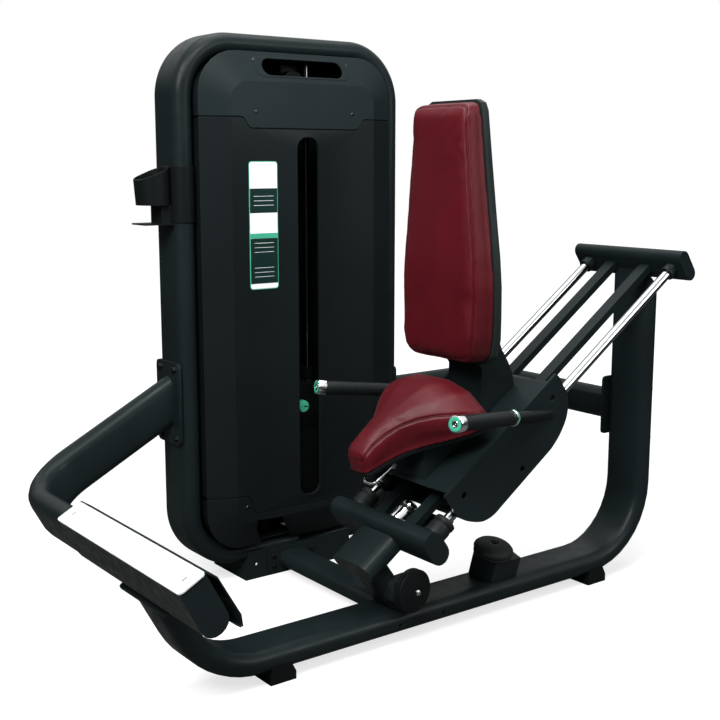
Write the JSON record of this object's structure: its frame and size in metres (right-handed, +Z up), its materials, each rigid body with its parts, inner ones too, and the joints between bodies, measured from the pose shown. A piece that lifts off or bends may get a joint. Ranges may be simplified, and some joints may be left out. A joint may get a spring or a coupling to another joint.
{
  "type": "calf raise machine",
  "caption": "Seated calf raise machine with a weight-stack tower, a seat carriage that slides on inclined chromed rods, a fixed foot platform and a cup holder.",
  "frame": {"origin": "centre of the overall footprint, on the floor", "axes": "+X along the base tube from the foot platform towards the rear upright, +Y towards the weight tower, +Z up"},
  "size_m": [1.6576, 1.0124, 1.5],
  "materials": {
    "frame_paint": "charcoal powder coat, fine satin",
    "panel": "dark textured panel",
    "cover": "charcoal moulded cover, satin",
    "chrome": "polished",
    "plate_white": "near-white coated foot plate",
    "leather": "smooth maroon upholstery",
    "rubber": "moulded, matt",
    "mint": "mint green, glossy",
    "iron": "black painted",
    "black_plastic": "moulded black"
  },
  "bodies": {
    "frame": {"base_tube": "frame_paint", "platform_arm": "frame_paint", "platform_channel": "frame_paint", "toe_plate": "frame_paint", "lower_crossbar": "frame_paint", "upper_crossbar": "frame_paint", "rack_rail_near": "frame_paint", "rack_rail_far": "frame_paint", "support_beam": "frame_paint", "bumper_box": "frame_paint", "top_hanger": "frame_paint", "tower_ring": "frame_paint", "tower_foot": "frame_paint", "cross_tube": "frame_paint", "rear_brace": "frame_paint", "cup_clamp": "frame_paint", "foot_plate": "plate_white", "foot_front": "rubber", "foot_rear": "rubber", "buffer_near": "rubber", "buffer_far": "rubber", "bumper_pad": "rubber", "guide_rod_near": "chrome", "guide_rod_far": "chrome", "end_stop": "chrome", "stack_rod_left": "chrome", "stack_rod_right": "chrome", "cup_holder": "black_plastic", "lower_panel": "panel", "kick_panel": "panel", "rear_panel": "panel", "upper_cover": "cover", "weight_plate_1": "iron", "weight_plate_2": "iron", "weight_plate_3": "iron", "weight_plate_4": "iron", "weight_plate_5": "iron", "weight_plate_6": "iron"},
    "carriage": {"carriage_plate_near": "frame_paint", "carriage_plate_far": "frame_paint", "bearing_tube_near": "black_plastic", "bearing_tube_far": "black_plastic", "carriage_deck": "frame_paint", "seat_bracket": "frame_paint", "seat_board": "black_plastic", "seat_pad": "leather", "back_post": "frame_paint", "back_shell": "black_plastic", "back_pad": "leather", "hand_bar_near": "frame_paint", "hand_bar_far": "frame_paint", "grip_near": "rubber", "grip_far": "rubber"},
    "stack": {"head_plate": "iron", "selector_rod": "chrome", "weight_plate_7": "iron"},
    "pin": {"selector_pin": "mint"},
    "base_pulley": {"base_sheave": "black_plastic"},
    "top_pulley": {"top_sheave": "black_plastic"},
    "lever": {"release_lever": "chrome"}
  },
  "joints": [
    {"name": "carriage_slide", "type": "slide", "parent": "frame", "child": "carriage", "axis": [0.8192, 0, 0.5736], "range_m": [0, 0.42]},
    {"name": "stack_lift", "type": "slide", "parent": "frame", "child": "stack", "axis": [0, 0, 1], "range_m": [0, 0.42]},
    {"name": "pin_pull", "type": "slide", "parent": "stack", "child": "pin", "axis": [0, -1, 0], "range_m": [0, 0.085]},
    {"name": "base_sheave_turn", "type": "hinge", "parent": "frame", "child": "base_pulley", "pos_m": [-0.09016, -0.2992, 0.142], "axis": [-0.1132, 0.9936, 0], "range_deg": [-5, 520]},
    {"name": "top_sheave_turn", "type": "hinge", "parent": "frame", "child": "top_pulley", "pos_m": [0.03364, 0.3982, 1.379], "axis": [0, 1, 0], "range_deg": [-5, 745]},
    {"name": "lever_lift", "type": "hinge", "parent": "carriage", "child": "lever", "pos_m": [-0.10216, -0.2142, 0.443], "axis": [0, 1, 0], "range_deg": [0, 15], "stiffness_Nm_per_rad": 0.8, "springref_deg": -11.46}
  ],
  "couplings": [
    {"joint": "stack_lift", "follows": "carriage_slide", "ratio": 1},
    {"joint": "base_sheave_turn", "follows": "carriage_slide", "rad_per_m": 21.5},
    {"joint": "top_sheave_turn", "follows": "carriage_slide", "rad_per_m": 30.77}
  ]
}
